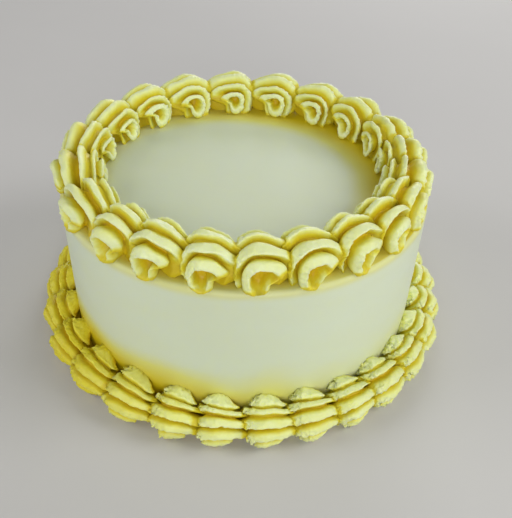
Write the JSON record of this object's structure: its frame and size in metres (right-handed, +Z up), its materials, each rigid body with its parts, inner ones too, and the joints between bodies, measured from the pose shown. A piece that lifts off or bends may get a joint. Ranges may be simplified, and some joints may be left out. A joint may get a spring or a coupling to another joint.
{
  "type": "layer cake",
  "caption": "Round layer cake with smooth pale buttercream icing and a border of ridged piped swirls round its top edge and another round its foot",
  "frame": {"origin": "The middle of the cake's flat underside, on the surface that it rests on", "axes": "+Z is up. -Y faces the camera of the picture, and +X is to its right"},
  "size_m": [0.2419, 0.2419, 0.1116],
  "materials": {
    "icing": "smooth satin buttercream, pale ivory with a green-yellow tinge, faint spatula marks",
    "piping": "satin buttercream piped through a star nozzle, pale cream on the ridges and yellow in the grooves"
  },
  "bodies": {
    "root": {"iced_cake": "icing", "top_swirl_01": "piping", "top_swirl_02": "piping", "top_swirl_03": "piping", "top_swirl_04": "piping", "top_swirl_05": "piping", "top_swirl_06": "piping", "top_swirl_07": "piping", "top_swirl_08": "piping", "top_swirl_09": "piping", "top_swirl_10": "piping", "top_swirl_11": "piping", "top_swirl_12": "piping", "top_swirl_13": "piping", "top_swirl_14": "piping", "top_swirl_15": "piping", "top_swirl_16": "piping", "top_swirl_17": "piping", "top_swirl_18": "piping", "top_swirl_19": "piping", "top_swirl_20": "piping", "top_swirl_21": "piping", "base_swirl_01": "piping", "base_swirl_02": "piping", "base_swirl_03": "piping", "base_swirl_04": "piping", "base_swirl_05": "piping", "base_swirl_06": "piping", "base_swirl_07": "piping", "base_swirl_08": "piping", "base_swirl_09": "piping", "base_swirl_10": "piping", "base_swirl_11": "piping", "base_swirl_12": "piping", "base_swirl_13": "piping", "base_swirl_14": "piping", "base_swirl_15": "piping", "base_swirl_16": "piping", "base_swirl_17": "piping", "base_swirl_18": "piping", "base_swirl_19": "piping", "base_swirl_20": "piping", "base_swirl_21": "piping", "base_swirl_22": "piping", "base_swirl_23": "piping", "base_swirl_24": "piping", "base_swirl_25": "piping", "base_swirl_26": "piping", "base_swirl_27": "piping", "base_swirl_28": "piping"}
  },
  "joints": []
}
